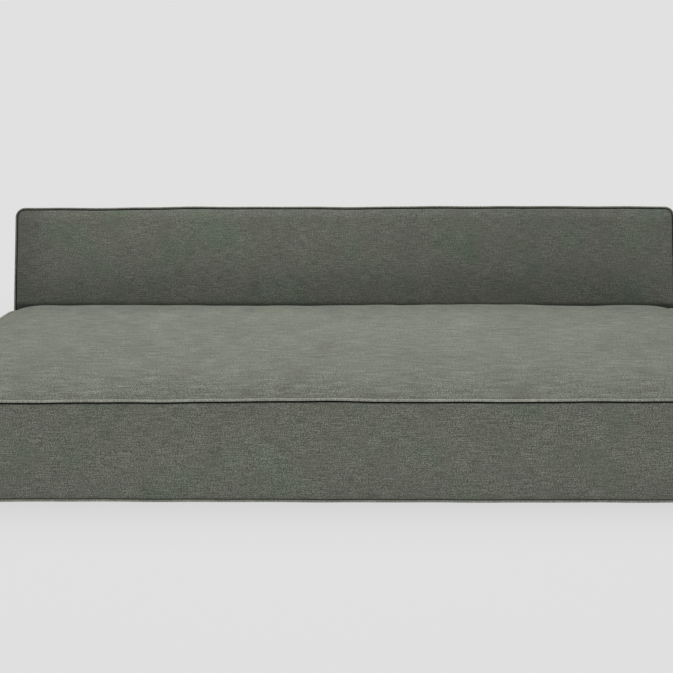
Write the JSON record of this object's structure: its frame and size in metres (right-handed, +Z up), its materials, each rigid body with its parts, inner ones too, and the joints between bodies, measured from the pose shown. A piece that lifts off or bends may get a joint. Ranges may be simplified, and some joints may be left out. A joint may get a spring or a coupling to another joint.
{
  "type": "sofa bed",
  "caption": "Low armless sofa bed with an unbroken bench seat and a low full-width back that folds down level with the seat on click-clack hinges.",
  "frame": {"origin": "on the floor under the middle of the sofa's bounding box", "axes": "+X along the width, to the right seen from the front; +Y towards the back, so the front faces -Y; +Z up"},
  "size_m": [2.447, 1.2412, 0.6682],
  "materials": {
    "linen": "olive-grey linen weave over foam",
    "piping": "welt cord covered in the same linen",
    "pine": "planed pine, unfinished",
    "plywood": "birch plywood, sanded",
    "steel": "zinc plated",
    "plastic": "moulded black polypropylene",
    "lining": "black nonwoven",
    "rubber": "matte black"
  },
  "bodies": {
    "seat_base": {"front_rail": "pine", "rear_rail": "pine", "left_end_rail": "pine", "right_end_rail": "pine", "left_cross_rail": "pine", "middle_cross_rail": "pine", "right_cross_rail": "pine", "front_left_corner_block": "pine", "front_right_corner_block": "pine", "rear_left_corner_block": "pine", "rear_right_corner_block": "pine", "left_seat_deck": "plywood", "right_seat_deck": "plywood", "dust_cover": "lining", "front_left_foot": "plastic", "front_middle_foot": "plastic", "front_right_foot": "plastic", "rear_left_foot": "plastic", "rear_middle_foot": "plastic", "rear_right_foot": "plastic", "seat_mattress": "linen", "front_border": "linen", "rear_border": "linen", "left_border": "linen", "right_border": "linen", "seat_top_welt": "piping", "seat_bottom_welt": "piping", "left_hinge_plate": "steel", "right_hinge_plate": "steel", "left_hinge_pin": "steel", "right_hinge_pin": "steel"},
    "back": {"back_top_rail": "pine", "back_bottom_rail": "pine", "back_left_stile": "pine", "left_hinge_stile": "pine", "back_middle_stile": "pine", "right_hinge_stile": "pine", "back_right_stile": "pine", "back_board": "plywood", "back_pad": "linen", "back_left_roll": "linen", "back_middle_roll": "linen", "back_right_roll": "linen", "back_border": "linen", "back_rear_panel": "linen", "back_front_welt": "piping", "back_rear_welt": "piping", "left_hinge_arm": "steel", "right_hinge_arm": "steel", "left_leg_bracket": "steel", "right_leg_bracket": "steel", "left_leg_pin": "steel", "right_leg_pin": "steel"},
    "left_leg": {"left_rear_leg": "pine", "left_leg_cap": "rubber"},
    "right_leg": {"right_rear_leg": "pine", "right_leg_cap": "rubber"}
  },
  "joints": [
    {"name": "back_fold", "type": "hinge", "parent": "seat_base", "child": "back", "pos_m": [0, 0.44637, 0.206], "axis": [-1, 0, 0], "range_deg": [-6, 80]},
    {"name": "left_leg_swing", "type": "hinge", "parent": "back", "child": "left_leg", "pos_m": [-1.0009, 0.60535, 0.47244], "axis": [1, 0, 0], "range_deg": [-8, 84]},
    {"name": "right_leg_swing", "type": "hinge", "parent": "back", "child": "right_leg", "pos_m": [1.0009, 0.60535, 0.47244], "axis": [1, 0, 0], "range_deg": [-8, 84]}
  ]
}
